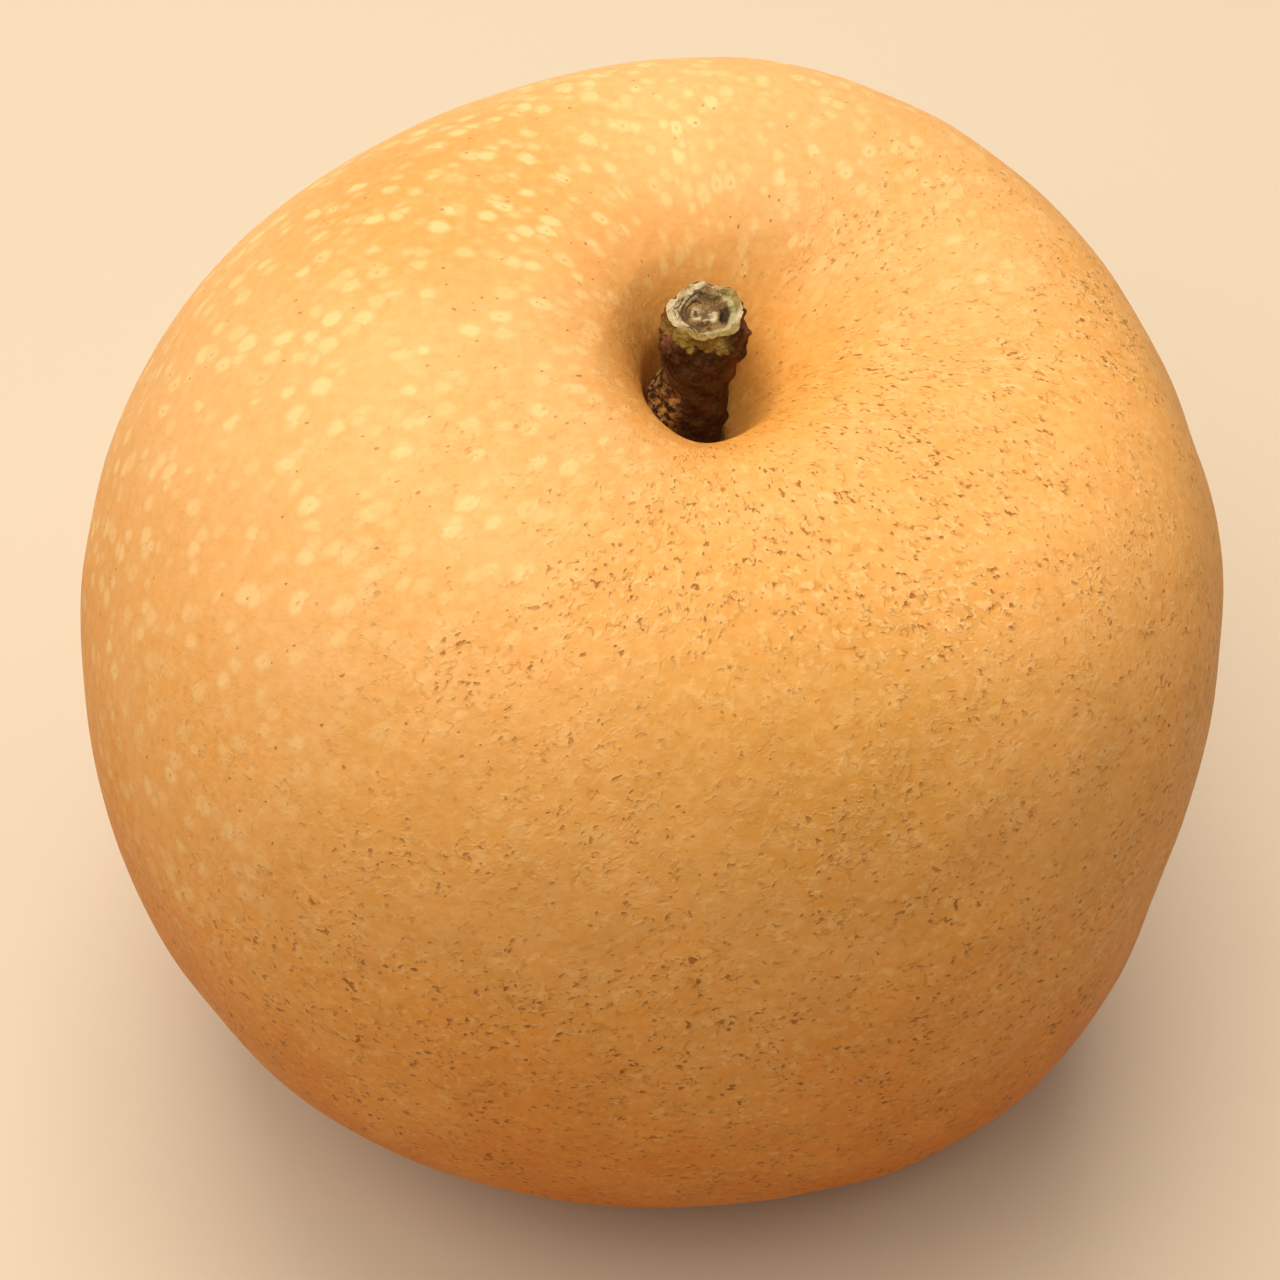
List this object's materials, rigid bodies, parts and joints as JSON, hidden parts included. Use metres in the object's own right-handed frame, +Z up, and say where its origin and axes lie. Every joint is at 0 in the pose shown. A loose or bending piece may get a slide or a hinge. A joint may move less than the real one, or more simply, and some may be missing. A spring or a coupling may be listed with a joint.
{
  "type": "asian pear",
  "caption": "Round russet Asian pear with a short clipped woody stem in a deep bowl, standing on its calyx end.",
  "frame": {"origin": "centre of the footprint box, on the surface that the pear rests on", "axes": "+Z up through the stem, +X across the widest way of the fruit, -Y towards the side that is seen first"},
  "size_m": [0.091, 0.0886, 0.0838],
  "materials": {
    "skin": "semi-matte russet skin with fine lenticels",
    "bark": "rough dark bark with a pale cut end"
  },
  "bodies": {
    "root": {"fruit": "skin", "stem": "bark"}
  },
  "joints": []
}
